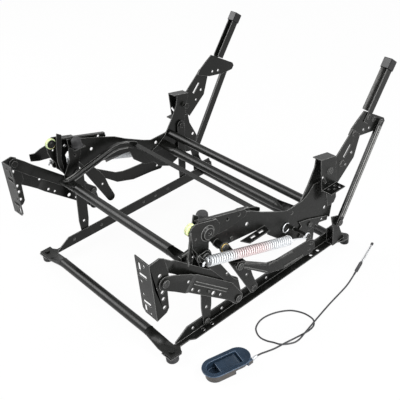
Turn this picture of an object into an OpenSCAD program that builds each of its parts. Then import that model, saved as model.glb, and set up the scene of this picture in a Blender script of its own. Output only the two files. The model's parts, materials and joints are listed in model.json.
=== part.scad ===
// Recliner mechanism: base rails, swinging seat carriage, footrest linkage, folding back,
// loose release handle.
// Millimetres. +Z is up, the front faces -Y, the origin is the middle of the base bolts on the soles.

/* [Piece shown] */
// Name of one piece, or all

/* [Base] */
// Clear width between the two base rails
rail_gap = 494; // [460:2:540]
// Height of the upright rail flange
rail_height = 30.5; // [28:0.5:34]
// Width of the flat rail sole
rail_sole = 20; // [18:0.5:22]
// Bolt hole spacing along a rail
bolt_length = 400; // [390:1:410]
// Diameter of the bolt holes in the rail sole
bolt_hole = 8; // [6:0.5:9]
// Height of the rubber feet below the rail sole
foot_height = 17.5; // [14:0.5:22]
// Diameter of the rubber feet
foot_d = 30; // [24:1:32]
// Distance between the front and rear swing pivots of a rail
pivot_base = 357; // [350:1:365]

/* [Sheet metal] */
// Sheet thickness of the plates and links
sheet = 3; // [2.6:0.1:3.2]
// Running gap between neighbouring links
gap = 0.6; // [0.5:0.05:0.8]
// Radius of the pivot pins
pivot_r = 5; // [4:0.25:5.5]
// Running clearance round a pivot pin
pivot_play = 0.05; // [0.03:0.01:0.08]

/* [Tubes] */
// Diameter of the base cross tubes
base_tube = 25; // [21:0.5:25]
// Diameter of the seat cross tubes
seat_tube = 25; // [20:0.5:25]

/* [Swing links] */
// Pivot to pivot length of the swing links
leg_length = 185; // [180:1:190]
// Backward lean of the swing links at rest, degrees
leg_lean = 5; // [3:0.5:7]
// Diameter of the nylon stop rollers
roller_d = 28; // [24:0.5:28]

/* [Footrest linkage] */
// Height of the footrest bracket
bracket_height = 148; // [140:1:152]
// Width of the footrest bracket front flange
bracket_width = 48; // [45:1:52]
// Width of the long link
long_link_width = 48; // [44:1:50]

/* [Back] */
// Length of the back posts
post_length = 154; // [130:2:170]
// Width of the back post channel
post_width = 20; // [18:0.5:22]
// Width of the strut
strut_width = 22; // [20:0.5:24]

/* [Springs] */
// Curls in each main spring
spring_curls = 38; // [32:1:38]
// Outside diameter of the main springs
spring_d = 24; // [20:0.5:25]
// Wire diameter of the main springs
spring_wire = 3.4; // [2.8:0.1:3.6]
// Curls in the cable return spring
return_curls = 12; // [9:1:12]

/* [Handle and cable] */
// Length of the pull cup rim
cup_length = 116; // [112:1:120]
// Width of the pull cup rim
cup_width = 58; // [56:0.5:60]
// Depth of the pull cup
cup_depth = 26; // [25:0.5:28]
// Diameter of the cable sheath
cable_d = 4; // [3.5:0.1:4.2]

/* [Hidden] */
$fn = 48;

paint = [0.20, 0.21, 0.20];
rubber = [0.07, 0.07, 0.08];
nylon = [0.84, 0.92, 0.60];
zinc = [0.82, 0.83, 0.85];
navy = [0.17, 0.22, 0.30];

// layers outward from the rail, each the inner face of its plate
x_rail = rail_gap / 2;
x_sole = x_rail + sheet + rail_sole;
x_leg = x_rail + sheet + gap;
x_bent = x_leg + sheet + gap;
x_seat = x_bent + 5.8;
x_front = x_seat + sheet + 15;
x_mid = x_front - 9;
x_upper = x_front + sheet + 1;
x_drive = x_upper + sheet + 1;
x_long = x_drive + sheet + 1;
x_foot = x_long + sheet + 2;
x_upper_end = x_foot - gap - sheet;
x_long_end = x_foot + sheet + gap;
x_push = x_long + 2 * sheet + 2 * gap;
x_end = x_seat + sheet + 11;
x_strut = x_end + sheet + 1;
strut_t = 7;
x_lug = x_seat + sheet + 18;
x_back = x_lug - gap - sheet;
x_tri = x_back - sheet;
post_wall = 2.5;
x_post = x_tri + sheet + post_wall - post_width;
x_latch = x_seat + sheet + 1;
x_spring = x_foot + 11 + spring_d / 2 - 12;
x_arm = x_bent - 21;
x_bumper = x_seat - 16;
bolt_x = x_rail + sheet + 10;

// pivots in the side view, [y, z]
leg_foot = [-183, 14];
link_foot = leg_foot + [pivot_base, 0];
rear = link_foot[0];
leg_rise = leg_length * [sin(leg_lean), cos(leg_lean)];
leg_top = leg_foot + leg_rise;
link_top = link_foot + leg_rise;
drive_top = [-197, 232];
long_back = [-116, 65];
long_front = [-316, 240];
upper_front = [-317, 284];
upper_back = long_back + upper_front - long_front;
arm_foot = [-61, 58];
arm_top = drive_top + arm_foot - long_back;
push_pivot = arm_top + 0.39 * (arm_foot - arm_top);
back_hinge = [rear + 39, 250];
strut_foot = [rear + 82, 74];
strut_top = [rear + 231, 299];
latch_pivot = [rear - 14, 112];
roller_at = [-217, 306];
spring_stud = [rear - 67, 126];
spring_tab = [-209, 235];
post_foot = [rear + 176, 322];
post_angle = 52.6;
tube_front = [-298, sheet + base_tube / 2];
tube_rear = [rear + 82, sheet + base_tube / 2];
rail_end = rear + 116;
pad_y = rear + 120;
pad_r = 12;
sole_end = pad_y - pad_r - 0.5;
foot_at = [x_rail + 18, -300];

// plain shapes
module rod(x0, x1, p, r) translate([x0, p[0], p[1]]) rotate([0, 90, 0]) cylinder(h = x1 - x0, r = r);
module plate(x, t, pts) translate([x, 0, 0]) rotate([90, 0, 90]) linear_extrude(t) polygon(pts);
module at(p, a) translate([0, p[0], p[1]]) rotate([a, 0, 0]) children();
function slope(p, q) = atan2(q[1] - p[1], q[0] - p[0]);
function arc(p, r, from,
    to) = [for (k = [0:12]) let (a = from + (to - from) * k / 12) p + r * [cos(a), sin(a)]];
function round_end(r, u, from, to) = arc([u, 0], r, from, to);
module bar(x, t, p, q, w) at(p, slope(p, q))
    plate(x, t, concat(round_end(w / 2, 0, 90, 270), round_end(w / 2, norm(q - p), -90, 90)));
module bore(x0, x1, p, r = pivot_r + pivot_play) rod(x0 - 0.5, x1 + 0.5, p, r);
module left() mirror([1, 0, 0]) children();
module rearward() translate([0, rear, 0]) children();
function behind(pts) = [for (p = pts) [rear + p[0], p[1]]];
function strip(line, t) = concat(line, [for (k = [len(line) - 1:-1:0]) line[k] - [0, t]]);

// tube along X whose ends taper to flat spades, with the lengths of each flat and taper
taper_step = 0.2;
module spade_tube(p, d, half, flat, taper, spade, drop) {
    round_to = half - flat - taper;
    rod(-round_to, round_to, p, d / 2);
    for (s = [-1, 1]) {
        hull() {
            translate([s * round_to - 0.5, p[0], p[1]]) rotate([0, 90, 0])
                cylinder(h = 1, d = d - 2 * taper_step, $fn = 32);
            translate([s * (half - flat) - 0.5, p[0] - spade / 2, p[1] - drop]) cube([1, spade, 5]);
        }
        translate([s > 0 ? half - flat - 0.5 : -half, p[0] - spade / 2, p[1] - drop])
            cube([flat + 0.5, spade, 5]);
    }
}

// swept tubes
function unit(v) = v / norm(v);
function tangents(p) = [for (i = [0:len(p) - 1]) unit(p[min(i + 1, len(p) - 1)] - p[max(i - 1, 0)])];
function flatten(n, t) = unit(n - t * (n * t));
function normals(t, n0) = [for (i = 0, n = flatten(n0, t[0]); i < len(t); i = i + 1,
    n = i < len(t) ? flatten(n, t[i]) : n) n];
module sweep(p, r, sides, n0) {
    t = tangents(p);
    n = normals(t, n0);
    k = len(p);
    pts = [for (i = [0:k - 1], j = [0:sides - 1]) let (a = 360 * j / sides)
        p[i] + r * (cos(a) * n[i] + sin(a) * cross(t[i], n[i]))];
    body = [for (i = [0:k - 2], j = [0:sides - 1]) let (a = i * sides + j, b = i * sides + (j + 1) % sides)
        each [[a, a + sides, b], [b, a + sides, b + sides]]];
    last = (k - 1) * sides;
    ends = [for (j = [1:sides - 2]) each [[0, j, j + 1], [last, last + j + 1, last + j]]];
    polyhedron(points = pts, faces = concat(body, ends), convexity = 10);
}
function clear_of_itself(p, skip, d) = min([for (i = [0:len(p) - 1 - skip], j = [i + skip:len(p) - 1])
    norm(p[i] - p[j])]) - d;

// coil along an axis: a straight start, curls of changing radius, a straight end
function ramp(i, n) = min(1, i / 4, (n - i) / 4);
function coil(o, e, u, v, lead, run, tail, r0, r1, curls) = let (n = curls * 8) concat(
    lead > 0 ? [o, o + e * lead / 2] : [],
    [for (i = [0:n]) let (a = 45 * i, r = (r0 + (r1 - r0) * i / n) * (lead > 0 ? ramp(i, n) : 1))
        o + e * (lead + run * i / n) + r * (cos(a) * u + sin(a) * v)],
    tail > 0 ? [o + e * (lead + run + tail / 2), o + e * (lead + run + tail)] : []);

spring_axis = slope(spring_tab, spring_stud);
spring_e = [0, cos(spring_axis), sin(spring_axis)];
spring_span = norm(spring_stud - spring_tab);
spring_run = 264;
spring_lead = 5;
spring_r = (spring_d - spring_wire) / 2;
spring_path = coil([x_spring, spring_tab[0], spring_tab[1]] + 2 * spring_e, spring_e, [1, 0, 0],
    [0, -sin(spring_axis), cos(spring_axis)], spring_lead, spring_run,
    spring_span - 2 - spring_lead - spring_run - 4.4, spring_r, spring_r, spring_curls);
echo(str("main spring least gap to itself ", clear_of_itself(spring_path, 6, spring_wire)));

// cable route on the floor, hand laid
floor_z = -foot_height;
lie = floor_z + cable_d / 2;
route = [[402.5, -169, 12], [403.5, -156, 10], [406, -140, 6.5], [409, -118, 2], [412, -93, 0],
    [417, -69, 0], [422.5, -41, 0], [425, -22, 0], [424, -8, 0], [419, 3, 0], [406, 13, 0], [382, 13.5, 0],
    [361, 6, 0], [346, -5, 0], [331, -27, 0], [322, -52, 0], [321, -76, 0], [330, -99, 0], [345, -111, 0],
    [362, -116, 0.5], [381, -114, 2.5], [397, -109, 5.2], [411, -104, 6], [421.5, -91, 4.6], [429, -74, 3],
    [430, -58, 3.2], [427.5, -42, 4.6], [423.5, -20, 5.2], [419, 2, 5.2], [411, 33, 1.5], [404, 66, 0],
    [398.5, 100, 0], [390, 158, 1], [378, 202, 2.6]];
route_steps = 2;
function glide(a, b, c, d, s) = 0.5 * (2 * b + (c - a) * s + (2 * a - 5 * b + 4 * c - d) * s * s
    + (3 * b - a - 3 * c + d) * s * s * s);
route_end = len(route) - 1;
cable_path = [for (k = [0:route_end * route_steps]) let (i = min(floor(k / route_steps), route_end - 1),
    s = k / route_steps - i,
    q = glide(route[max(i - 1, 0)], route[i], route[i + 1], route[min(i + 2, route_end)], s))
    [q[0], q[1], lie + max(q[2], 0)]];

// cable end pieces run on from the sheath
tip = [route[route_end][0], route[route_end][1], lie + route[route_end][2]];
tip_turn = 18.5;
tip_e = [-sin(tip_turn), cos(tip_turn), 0];
ferrule_l = 16;
sleeve_l = 15;
barrel_l = 40;
return_l = 78;
return_path = coil(tip + tip_e * (sleeve_l + barrel_l + 0.9), tip_e, [cos(tip_turn), sin(tip_turn), 0],
    [0, 0, 1], 0, return_l - 1.8, 0, 3.3, 2.4, return_curls);
echo(str("return spring least gap to itself ", clear_of_itself(return_path, 5, 1)));

// base
module rail_r() color(paint) difference() {
    union() {
        plate(x_rail, sheet, [[-276, 0], [-276, 7], [-238, rail_height], [rail_end, rail_height],
            [rail_end, 0]]);
        linear_extrude(sheet) polygon([[x_rail, -316], [x_rail + 34, -316], [x_rail + 34, -284],
            [x_sole - 8, -272], [x_sole - 8, -244], [x_sole, -232], [x_sole, sole_end], [x_rail,
                sole_end]]);
        rod(x_rail, x_bent, leg_foot, pivot_r);
        rod(x_bent, x_bent + 3, leg_foot, pivot_r + 3.5);
        rod(x_rail, x_bent, link_foot, pivot_r);
        rod(x_bent, x_bent + 3, link_foot, pivot_r + 3.5);
    }
    for (y = [-bolt_length / 2, -bolt_length / 2 + 27, bolt_length / 2 - 27, bolt_length / 2])
        translate([bolt_x, y, -1]) cylinder(h = sheet + 2, d = bolt_hole);
    translate([foot_at[0], foot_at[1], -1]) cylinder(h = sheet + 2, r = 4.05);
    for (y = [-222, -131, -85, 20, 64, 112]) bore(x_rail, x_rail + sheet, [y, 16], 3.5);
}
module rail_l() left() rail_r();

module front_tube() color(paint) difference() {
    spade_tube(tube_front, base_tube, x_rail + 33, 46, 52, 32, tube_front[1] - sheet);
    for (s = [-1, 1]) translate([s * foot_at[0], foot_at[1], 0]) cylinder(h = 30, r = 4.05);
}

module rear_tube() color(paint) rod(-x_rail, x_rail, tube_rear, base_tube / 2);

module foot_r() color(rubber) translate([foot_at[0], foot_at[1], floor_z]) {
    cylinder(h = foot_height - 5, d = foot_d);
    translate([0, 0, foot_height - 5]) cylinder(h = 5, d1 = foot_d, d2 = foot_d - 8);
    cylinder(h = foot_height + sheet + 8, r = 4);
    translate([0, 0, foot_height + sheet + 5]) cylinder(h = 4, r = 7, $fn = 6);
}
module foot_l() left() foot_r();

module end_bracket_r() color(paint) {
    rearward() {
        translate([0, 0, sheet]) linear_extrude(sheet) polygon([[x_rail + sheet, 66], [x_end + sheet, 66],
            [x_end + sheet, 84], [x_end + 13, 97], [x_end + 15, 114], [x_end + 7, 125], [x_end - 6, 128],
            [x_end - 18, 124], [x_rail + sheet, 104]]);
        plate(x_end, sheet, [[66, sheet], [66, 58], [58, 100], [84, 91], [94, 84], [91, 54], [95,
            43], [101, 28],
            [108, 14], [110, sheet]]);
        plate(x_rail + sheet, sheet, [[70, 2 * sheet], [70, 44], [110, 44], [122, 2 * sheet]]);
    }
    translate([x_end - 2, pad_y, floor_z]) cylinder(h = foot_height + 1.5 * sheet, r = pad_r);
    rod(x_end, x_strut + strut_t + gap, strut_foot, 6);
    rod(x_strut + strut_t + gap, x_strut + strut_t + gap + 3, strut_foot, 9);
}
module end_bracket_l() left() end_bracket_r();

// swing links
module swing_link(p, w) difference() {
    at(p, 90 - leg_lean) plate(x_leg, sheet, concat(round_end(10, 0, 90, 270), [[44, -w / 2]],
        round_end(w / 2, leg_length, -90, 90), [[44, w / 2]]));
    bore(x_leg, x_leg + sheet, p);
    bore(x_leg, x_leg + sheet, p + leg_rise);
    bore(x_leg, x_leg + sheet, p + leg_rise * 0.22, 3.5);
}
module leg_r() color(paint) swing_link(leg_foot, 31);
module leg_l() left() leg_r();
module rear_link_r() color(paint) swing_link(link_foot, 26);
module rear_link_l() left() rear_link_r();

// seat carriage: a plate on each side, with a riser inside it that carries the front swing link
module seat_plate_r() color(paint) difference() {
    union() {
        plate(x_seat, sheet, concat([[-176, 306], [-138, 292], [-81, 272], [-32, 252], [0, 232], [60, 201]],
            behind([[-90, 191], [-36, 192], [-14, 202], [4, 218], [52, 218], [56, 186], [78, 136], [67, 90],
                [56, 96], [35, 104], [-36, 79], [-73, 96], [-89, 118]]),
            [[51, 126], [17, 157], [8, 186], [-62, 196], [-128, 205], [-140, 206], [-147, 216], [-156, 233],
                [-166, 250], [-176, 262]]));
        plate(x_bent, sheet, concat([[-180, 281], [-142, 281], [-146, 256], [-158, 230]],
            arc(leg_top, 14, 60, -100), [[-190, 182], [-212, 190], [-208, 209], [-195, 231], [-183, 248]]));
        plate(x_bent, x_seat - x_bent + 1, [[-174, 281], [-145, 281], [-148, 264], [-172, 266]]);
        rod(x_rail - 0.5, x_bent + 1, leg_top, pivot_r);
        rod(x_bent + 1, x_bent + sheet + 2, leg_top, pivot_r + 3.5);
        rod(x_rail - 0.5, x_seat, link_top, pivot_r);
        rod(x_bent, x_seat, link_top, pivot_r + 3.5);
        for (p = [leg_top, link_top]) rod(x_rail - 0.5, x_leg - gap, p, pivot_r + 3);
        translate([0, 0, 187]) linear_extrude(sheet) polygon([[x_seat + sheet, -72], [x_seat + 25, -62],
            [x_seat + 25, 2], [x_seat + sheet, 8]]);
        translate([x_bumper - 15, -176, 281]) cube([x_seat - x_bumper + 15, 34, sheet]);
        rod(x_seat + 1, x_drive - gap, arm_top, 9);
        rod(x_drive - gap, x_drive + sheet + gap, arm_top, 6);
        rod(x_drive + sheet + gap, x_drive + sheet + gap + 3, arm_top, 9);
        rod(x_seat, x_spring + 3, spring_stud, 4);
        rod(x_spring + 3, x_spring + 6, spring_stud, 7);
        rod(x_seat, x_latch + sheet + gap, latch_pivot, 4);
        rod(x_latch + sheet + gap, x_latch + sheet + gap + 2.5, latch_pivot, 7);
    }
    for (p = concat([[-110, 248], [-48, 224]], behind([[-74, 176], [47, 130], [64, 146]])))
        bore(x_seat, x_seat + sheet, p, 4.5);
    bore(x_bent, x_bent + sheet, [-165, 256], 3);
    for (y = [-48, -22]) translate([x_seat + 10, y, 180]) cube([6, 14, 14]);
}
module seat_plate_l() left() seat_plate_r();

ear_turn = -50;
module front_bracket_r() color(paint) difference() {
    union() {
        plate(x_front, sheet, [[-227, 297], [-225, 306], [-219, 314], [-207, 318.5], [-150, 301.5],
            [-142, 285],
            [-146, 268], [-158, 261], [-172, 261], [-180, 254], [-179, 237], [-181, 222], [-190,
                215], [-203, 217],
            [-212, 226], [-212, 244], [-223, 264], [-228, 284]]);
        rod(x_front, x_front + sheet, drive_top, 14);
        plate(x_mid, sheet, [[-170, 307.5], [-150, 301.5], [-59, 275.5], [-54, 262], [-60, 256],
            [-116, 250],
            [-150, 254], [-170, 264]]);
        plate(x_mid, x_front - x_mid, [[-157, 303.6], [-150, 301.5], [-142, 285], [-146, 268], [-153, 268],
            [-149, 285]]);
        plate(x_seat + sheet, x_front - x_seat - sheet, strip([[-198, 315.8], [-150, 301.5]], 4));
        plate(x_seat + sheet, x_mid - x_seat - sheet, strip([[-150, 301.5], [-59, 275.5]], 4));
        translate([x_seat + sheet, -131.5, 262]) cube([x_mid - x_seat - sheet, 3.5, 26]);
        plate(x_seat + sheet, sheet, [[-199, 331], [-186, 322], [-191, 300], [-201, 255], [-199,
            227], [-183, 191],
            [-195, 190], [-211, 236], [-213, 253], [-207, 300]]);
        rod(x_bent + sheet, x_seat + sheet + 1, [-192, 199], 4.5);
        translate([x_front + sheet, -222, 0]) rotate([90, 0, ear_turn]) linear_extrude(sheet)
            polygon([[0, 264], [0, 304], [20, 294], [38, 281], [52, 279], [52, 258], [30, 258]]);
        translate([x_front + sheet, -178, 280]) rotate([0, 90, 0]) cylinder(h = 5, r1 = 18, r2 = 13);
        rod(x_front, x_drive + sheet + gap, drive_top, 6);
        rod(x_drive + sheet + gap, x_drive + sheet + gap + 3, drive_top, 10);
        rod(x_front - 11, x_front, roller_at, 4);
    }
    bore(x_front, x_front + sheet + 5, [-176, 280], 4);
    bore(x_front, x_front + sheet, [-212, 282], 2.5);
    bore(x_mid, x_mid + sheet, [-112, 276], 3.5);
    bore(x_mid, x_mid + sheet, [-78, 270], 3.5);
}
module front_bracket_l() left() front_bracket_r();

module bumper_r() color(rubber) translate([x_bumper, -159, 281 + sheet]) rotate_extrude()
    polygon(concat([[0, 0], [15, 0], [15, 4], [12, 7]],
        [for (k = [0:2]) each [[13, 8.25 + 3 * k], [11.5, 9.75 + 3 * k]]],
        [[12.5, 17.25], [11, 20], [8, 23], [0, 24]]));
module bumper_l() left() bumper_r();

module lug_r() color(paint) difference() {
    union() {
        rearward() {
            plate(x_seat - sheet, sheet, [[18, 289.7], [60, 281], [52, 262], [38, 216], [32, 170],
                [16, 148],
                [-24, 146], [-95, 150], [-95, 157], [-69, 168], [-42, 186], [-12, 225], [12, 263]]);
            plate(x_seat - sheet, x_lug + 2 * sheet - x_seat, [[7, 291], [7, 294], [60, 283], [60, 280]]);
            plate(x_lug, sheet, [[7, 291], [60, 280], [64, 204], [65, 162], [57, 150], [32, 150], [26, 204],
                [10, 204]]);
            translate([x_lug, 12, 204]) cube([31, 52, sheet]);
        }
        rod(x_back - gap, x_lug, back_hinge, 6);
        rod(x_back - gap - 3, x_back - gap, back_hinge, 10);
        rod(x_lug + sheet, x_lug + sheet + 3, back_hinge, 9);
        rod(x_seat - sheet - 9, x_seat - sheet, back_hinge + [1, 2], 5);
        rod(x_seat - sheet - 12, x_seat - sheet - 8, back_hinge + [1, 2], 8);
    }
    bore(x_seat - sheet, x_seat, link_top, pivot_r + 4.5);
    rearward() {
        for (p = [[12, 26], [21, 36], [12, 48], [23, 52]])
            translate([x_lug + p[0], p[1], 200]) cylinder(h = 15, r = 3);
        translate([x_lug - 1, 22, 222]) rotate([28, 0, 0]) cube([sheet + 2, 5, 26]);
    }
}
module lug_l() left() lug_r();

module torque_tube() color(paint) spade_tube([-212, 203], base_tube, x_bent, 24, 44, 30, 3);
module flat_bar() color(paint) translate([-x_arm, 4, 216]) cube([2 * x_arm, 14, 4]);
module mid_tube() color(paint) spade_tube([rear - 54, 160], seat_tube, x_seat - sheet, 16, 46, 30, -4);
module top_tube() color(paint) rod(-x_seat + sheet, x_seat - sheet, [rear - 22, 184], seat_tube / 2 - 1.5);

// channel arms from the torque tube to the flat bar
arm_ridge = [[-222, 213], [-196, 216], [-166, 224], [-139, 230], [-107, 237], [-68, 246], [-42,
    247], [-10, 237]];
arm_ledge = [[-177, 211], [-152, 216], [-120, 222], [-88, 231], [-69, 235], [-46, 236]];
module seat_arm() {
    plate(x_arm, sheet, concat([[-222, 205]], arm_ridge, [[10, 229], [21, 221], [21, 212],
        [0, 212], [-24, 226]], [for (k = [len(arm_ledge) - 1:-1:0]) arm_ledge[k] - [0, 3]],
        [[-194, 205]]));
    plate(x_arm - 10, 10, strip(arm_ledge, 3));
    plate(x_arm - 8, 8, strip(arm_ridge, 2.5));
}
module seat_arms() color(paint) {
    seat_arm();
    left() seat_arm();
}

module main_spring_r() color(zinc) sweep(spring_path, spring_wire / 2, 6, [1, 0, 0]);
module main_spring_l() left() main_spring_r();

module roller_r() color(nylon) difference() {
    rod(x_front - 9.6, x_front - gap, roller_at, roller_d / 2);
    bore(x_front - 10, x_front, roller_at, 4 + pivot_play);
}
module roller_l() left() roller_r();

module latch_r() color(paint) difference() {
    at(latch_pivot, 0) plate(x_latch, sheet, [[-38, 26], [-6, 18], [69, -10], [66, -22], [36, -14],
        [30, -22],
        [22, -13], [16, -21], [8, -13], [0, -20], [-8, -14], [-30, -30], [-40, -20], [-30, -8], [-41, 2],
        [-30, 10]]);
    bore(x_latch, x_latch + sheet, latch_pivot, 4 + pivot_play);
    bore(x_latch, x_latch + sheet, latch_pivot + [46, -9], 3.5);
}
module latch_l() left() latch_r();

// footrest linkage
drive_tab = slope(drive_top, spring_tab);
drive_down = slope(drive_top, upper_back);
drive_foot = slope(upper_back, long_back);
drive_top_r = 14.5;
drive_knee_r = 10;
drive_waist = [-122, 127];
drive_side = [cos(drive_down - 90), sin(drive_down - 90)];
drive_outline = concat(arc(long_back, 16, drive_foot - 90, drive_foot + 90),
    arc(upper_back, drive_knee_r, drive_foot + 91, 80), [drive_waist],
    arc(drive_top, drive_top_r, drive_down + 90, drive_tab - 90),
    arc(spring_tab, 10, drive_tab - 90, drive_tab + 90),
    [drive_top + drive_top_r * drive_side, upper_back + drive_knee_r * drive_side]);
module drive_link_r() color(paint) difference() {
    union() {
        plate(x_drive, sheet, drive_outline);
        translate([x_drive + sheet, spring_tab[0] - 3,
            spring_tab[1] - 7]) cube([x_spring - x_drive + 2, 3, 13]);
        rod(x_upper - gap, x_drive, upper_back, pivot_r);
        rod(x_upper - gap - 3, x_upper - gap, upper_back, pivot_r + 3);
        rod(x_drive + sheet, x_long + sheet + gap, long_back, pivot_r);
        rod(x_long + sheet + gap, x_long + sheet + gap + 3, long_back, pivot_r + 4);
    }
    bore(x_drive, x_drive + sheet, drive_top, 6 + pivot_play);
    bore(x_drive, x_drive + sheet, [-140, 150], 3.5);
}
module drive_link_l() left() drive_link_r();

arm_l = norm(arm_foot - arm_top);
module rear_arm_r() color(paint) difference() {
    union() {
        at(arm_top, slope(arm_top, arm_foot)) plate(x_drive, sheet, concat(round_end(12.5, 0, 90, 270),
            round_end(12.5, arm_l, -90, 90), [[arm_l - 36, 16.5], [122, 22.5], [92, 22.5], [40, 14]]));
        rod(x_drive + sheet, x_drive + sheet + 3, arm_foot, 7);
        rod(x_drive + sheet, x_push + sheet + gap, push_pivot, pivot_r);
        rod(x_push + sheet + gap, x_push + sheet + gap + 3, push_pivot, pivot_r + 4);
    }
    bore(x_drive, x_drive + sheet, arm_top, 6 + pivot_play);
    bore(x_drive, x_drive + sheet, [-81, 111], 3);
}
module rear_arm_l() left() rear_arm_r();

module push_link_r() color(paint) difference() {
    union() {
        plate(x_push, sheet, [[-122, 164], [-114, 172], [-102, 170], [-26, 119], [6, 109], [62,
            106], [126, 102],
            [140, 92], [142, 66], [132, 58], [98, 63], [30, 68], [-26, 86], [-100, 148], [-118, 152]]);
        for (rib = [[[-94, 158], [-30, 117]], [[-96, 147], [-28, 92]], [[-18, 110], [58, 101]],
            [[34, 73], [96, 68]]]) bar(x_push, sheet + 2, rib[0], rib[1], 4);
    }
    bore(x_push, x_push + sheet, push_pivot);
    bore(x_push, x_push + sheet, [120, 74], 3.5);
    at([122, 92], -30) translate([x_push - 1, 0, -3]) cube([sheet + 2, 14, 6]);
}
module push_link_l() left() push_link_r();

// link folded sideways between two layers, along [u, v] from a pivot
module jogged(p, a, x_from, x_to, u0, u1, u_end, pts) at(p, a) intersection() {
    plate(min(x_from, x_to) - 1, abs(x_from - x_to) + sheet + 2, pts);
    linear_extrude(120, center = true) polygon([[x_from, -40], [x_from + sheet, -40], [x_from + sheet, u0],
        [x_to + sheet, u1], [x_to + sheet, u_end], [x_to, u_end], [x_to, u1], [x_from, u0]]);
}
long_l = norm(long_back - long_front);
upper_l = norm(upper_back - upper_front);

module long_link_r() color(paint) difference() {
    w = long_link_width / 2;
    jogged(long_front, slope(long_front, long_back), x_long_end, x_long, 72, 92, long_l + 40,
        concat(round_end(16, 0, 110, 270), [[40, -13], [78, -w + 12], [long_l - 30, -w + 14]],
            round_end(15, long_l, -80, 70), [[long_l - 46, w + 8], [64, w + 8], [30, 25]]));
    bore(x_long_end, x_long_end + sheet, long_front);
    bore(x_long, x_long + sheet, long_back);
    at(long_front, slope(long_front, long_back)) {
        bore(x_long, x_long_end + sheet, [66, 14], 3.5);
        bore(x_long, x_long_end + sheet, [100, -3], 3.5);
        bore(x_long, x_long_end + sheet, [122, -3], 3);
        bore(x_long, x_long_end + sheet, [172, -1], 5);
        bore(x_long, x_long_end + sheet, [198, -1], 3.5);
    }
}
module long_link_l() left() long_link_r();

module upper_link_r() color(paint) difference() {
    jogged(upper_front, slope(upper_front, upper_back), x_upper_end, x_upper, 26, 46, upper_l + 40,
        concat(round_end(15, 0, 90, 270), [[60, -14]], round_end(13, upper_l, -90, 90), [[60, 15]]));
    bore(x_upper_end, x_upper_end + sheet, upper_front);
    bore(x_upper, x_upper + sheet, upper_back);
}
module upper_link_l() left() upper_link_r();

module footrest_bracket_r() color(paint) {
    top = 301;
    low = top - bracket_height;
    inner = x_foot + sheet - bracket_width;
    difference() {
        union() {
            plate(x_foot, sheet, [[-346, low], [-346, top], [-319, top + 4], [-307, top - 4], [-302, 262],
                [-302, 230], [-310, 218], [-312, low + 17], [-319, low + 8]]);
            translate([0, -343, 0]) rotate([90, 0, 0]) linear_extrude(sheet) polygon([[x_foot + sheet, low],
                [x_foot + sheet, top], [inner, top + 3], [inner, low + 12], [inner + 9, low + 2]]);
        }
        for (p = [[-324, 263], [-323, 219], [-323, 201], [-323, 178]])
            bore(x_foot, x_foot + sheet, p, 4);
        bore(x_foot, x_foot + sheet, [-337, 235], 3);
        for (q = [[-38, top - 30, 9, 20], [-39, top - 45, 26, 9], [-39, low + 30, 26, 9],
            [-38, low + 8, 9, 18]])
            translate([x_foot + q[0], -350, q[1]]) cube([q[2], 10, q[3]]);
        for (q = [[-18, top - 12], [-35, top - 60], [-35, low + 53], [-18, low + 8]])
            translate([x_foot + q[0], -350, q[1]]) rotate([-90, 0, 0]) cylinder(h = 10, r = 4);
    }
    rod(x_foot, x_long_end + sheet + gap, long_front, pivot_r);
    rod(x_long_end + sheet + gap, x_long_end + sheet + gap + 3, long_front, pivot_r + 4);
    rod(x_upper_end - gap, x_foot, upper_front, pivot_r);
    rod(x_upper_end - gap - 2, x_upper_end - gap, upper_front, pivot_r + 4);
}
module footrest_bracket_l() left() footrest_bracket_r();

// back
module back_plate_r() color(paint) difference() {
    union() {
        rod(x_back, x_back + sheet, back_hinge, 16);
        rearward() {
            plate(x_back, sheet, [[126, 326], [113, 314], [68, 277], [34, 266], [24, 250], [39,
                234], [72, 196],
                [134, 244], [156, 300]]);
            rod(x_back + sheet, x_back + sheet + 2.5, [130, 312], 6);
            rod(x_back + sheet, x_back + sheet + 2.5, [88, 247], 8);
        }
    }
    bore(x_back, x_back + sheet, back_hinge, 6 + pivot_play);
    rearward() {
        at([94, 262], 45) translate([x_back - 1, 0, -3]) cube([sheet + 2, 34, 6]);
        bore(x_back, x_back + sheet, [124, 262], 3.5);
        bore(x_back, x_back + sheet, [102, 238], 3);
    }
}
module back_plate_l() left() back_plate_r();

module tri_plate_r() color(paint) rearward() difference() {
    union() {
        plate(x_tri, sheet, [[114, 313], [159, 293], [217, 283], [250, 284], [258, 294], [254,
            304], [172, 356],
            [148, 342], [124, 326]]);
        rod(x_tri + sheet, x_tri + sheet + 2.5, [210, 318], 6);
    }
    for (p = [[172, 304], [194, 300]]) bore(x_tri, x_tri + sheet, p, 3.5);
}
module tri_plate_l() left() tri_plate_r();

module post_r() color(paint) at(post_foot, post_angle) difference() {
    union() {
        translate([x_post, 29, -11]) cube([post_width, post_length - 29, 22]);
        translate([x_tri + sheet, 0, -9]) cube([post_wall, 40, 18]);
        rod(x_tri + sheet + post_wall, x_tri + sheet + 2 * post_wall, [16, -1], 6);
    }
    translate([x_post + post_wall, -1, post_wall - 11]) cube([post_width - 2 * post_wall,
        post_length + 2, 30]);
}
module post_l() left() post_r();

module cap_r() color(rubber) at(post_foot, post_angle) difference() {
    translate([x_post - 2, post_length - 16, -13]) cube([post_width + 4, 26, 26]);
    translate([x_post - 0.02, post_length - 20, -11.02]) cube([post_width + 0.04, 20.02, 22.04]);
}
module cap_l() left() cap_r();

module strut_r() color(paint) difference() {
    l = norm(strut_top - strut_foot);
    union() {
        bar(x_strut, strut_t, strut_foot, strut_top, strut_width);
        rod(x_strut + strut_t, x_strut + strut_t + 2.5, strut_top, 7);
    }
    bore(x_strut, x_strut + strut_t, strut_foot, 6 + pivot_play);
    at(strut_foot, slope(strut_foot, strut_top)) translate([x_strut + 3.5, 22, -2.8]) cube([20,
        l - 44, 5.6]);
}
module strut_l() left() strut_r();

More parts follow.
